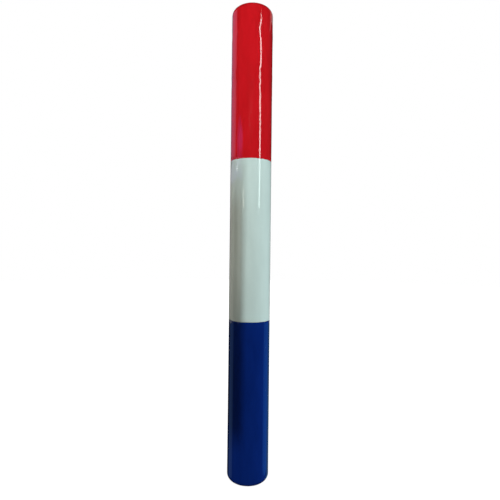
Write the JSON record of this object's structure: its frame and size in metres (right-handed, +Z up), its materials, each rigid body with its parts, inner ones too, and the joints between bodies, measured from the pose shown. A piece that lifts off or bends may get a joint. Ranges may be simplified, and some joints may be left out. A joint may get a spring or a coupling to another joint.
{
  "type": "juggling club",
  "caption": "Straight round juggling club with softly rounded ends and blue, white and red gloss bands: hollow plastic shells clamped on a wooden core rod.",
  "frame": {"origin": "middle of the flat bottom face, at the blue end", "axes": "+Z up the club's axis, from the blue end to the red end; X and Y are across it"},
  "size_m": [0.04, 0.04, 0.456],
  "materials": {
    "red_gloss": "gloss lacquer, slightly wavy",
    "white_gloss": "gloss lacquer, smooth",
    "blue_gloss": "gloss lacquer, smooth",
    "ring_plastic": "as moulded",
    "beech": "sanded, unpainted",
    "zinc_steel": "bright zinc plate"
  },
  "bodies": {
    "root": {"blue_end_shell": "blue_gloss", "white_middle_tube": "white_gloss", "red_end_shell": "red_gloss", "bottom_cover_plug": "blue_gloss", "top_cover_plug": "red_gloss", "lower_joint_ring": "ring_plastic", "upper_joint_ring": "ring_plastic", "core_dowel": "beech", "bottom_screw": "zinc_steel", "top_screw": "zinc_steel", "bottom_washer": "zinc_steel", "top_washer": "zinc_steel"}
  },
  "joints": []
}
